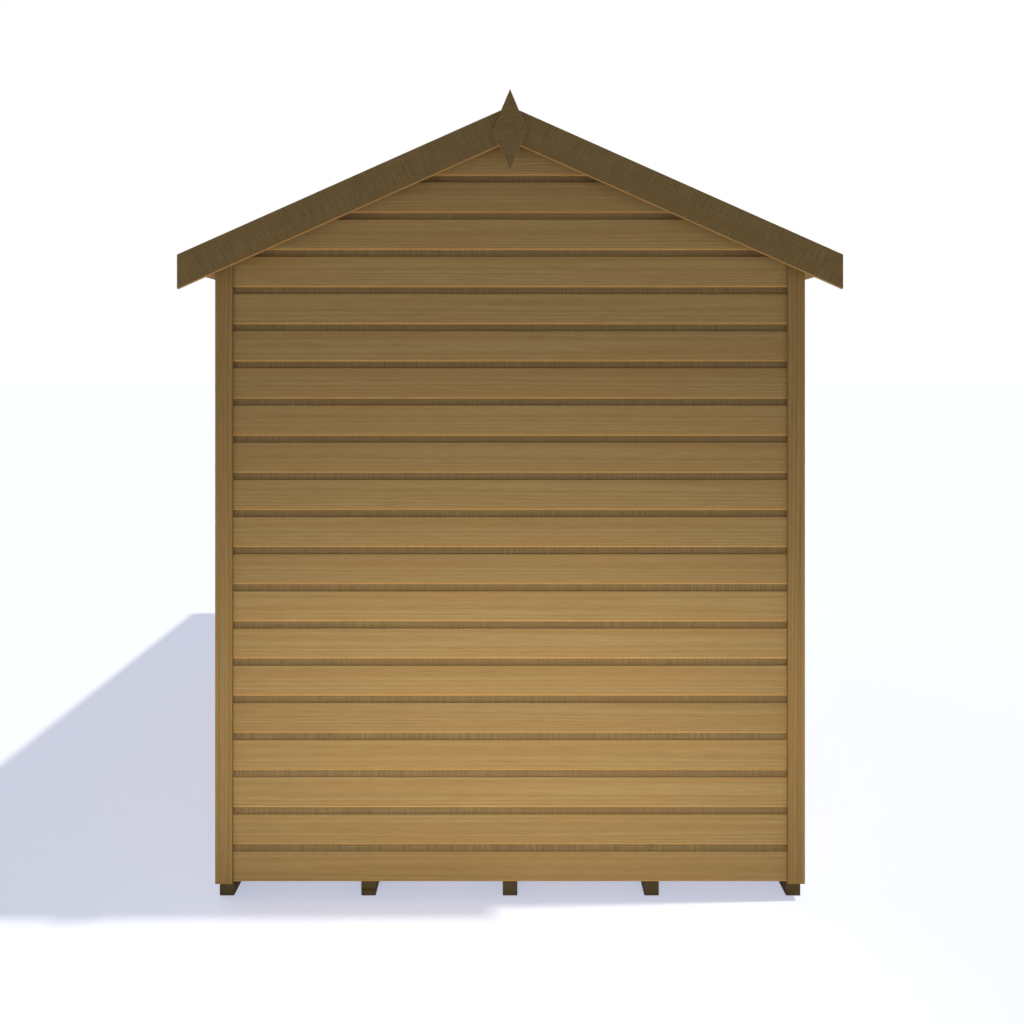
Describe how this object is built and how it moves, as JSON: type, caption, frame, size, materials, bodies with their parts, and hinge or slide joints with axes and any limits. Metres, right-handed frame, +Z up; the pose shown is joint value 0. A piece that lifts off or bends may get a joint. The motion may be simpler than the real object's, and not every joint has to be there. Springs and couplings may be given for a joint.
{
  "type": "summer house",
  "caption": "Small timber summer house with shiplap walls, apex felt roof, bargeboards, diamond finials, double doors and fixed windows.",
  "frame": {"origin": "on the ground, under the middle of the building", "axes": "+Z up; +Y along the ridge, from the front gable to the back gable; +X across the gables, towards the wall with the doors and windows"},
  "size_m": [2, 3.136, 2.459],
  "materials": {
    "cladding_wood": "satin dip-treated softwood",
    "trim_wood": "satin dip-treated softwood",
    "roof_trim_wood": "band-sawn dip-treated softwood",
    "framing_wood": "planed untreated softwood",
    "bearer_wood": "sawn pressure-treated softwood",
    "roof_felt": "mineral-surfaced bitumen felt",
    "clear_glass": "clear",
    "black_iron": "satin black"
  },
  "bodies": {
    "root": {"bearer_1": "bearer_wood", "bearer_2": "bearer_wood", "bearer_3": "bearer_wood", "bearer_4": "bearer_wood", "bearer_5": "bearer_wood", "floor": "framing_wood", "front_gable_wall": "cladding_wood", "back_gable_wall": "cladding_wood", "left_wall": "cladding_wood", "right_wall": "cladding_wood", "front_gable_frame": "framing_wood", "back_gable_frame": "framing_wood", "left_wall_frame": "framing_wood", "right_wall_frame": "framing_wood", "ridge_beam": "framing_wood", "left_purlin": "framing_wood", "right_purlin": "framing_wood", "left_roof_boards": "framing_wood", "right_roof_boards": "framing_wood", "left_roof_felt": "roof_felt", "right_roof_felt": "roof_felt", "ridge_cap": "roof_felt", "left_eaves_batten": "trim_wood", "right_eaves_batten": "trim_wood", "front_left_bargeboard": "roof_trim_wood", "front_right_bargeboard": "roof_trim_wood", "back_left_bargeboard": "roof_trim_wood", "back_right_bargeboard": "roof_trim_wood", "front_finial": "roof_trim_wood", "back_finial": "roof_trim_wood", "front_left_corner_trim": "trim_wood", "front_right_corner_trim": "trim_wood", "back_left_corner_trim": "trim_wood", "back_right_corner_trim": "trim_wood", "door_frame": "trim_wood", "door_trim": "trim_wood", "front_door_leaf": "trim_wood", "back_door_leaf": "trim_wood", "door_glass": "clear_glass", "door_hinges": "black_iron", "door_handle": "black_iron", "front_window_frame": "trim_wood", "back_window_frame": "trim_wood", "window_glass": "clear_glass", "window_trims": "trim_wood"}
  },
  "joints": []
}
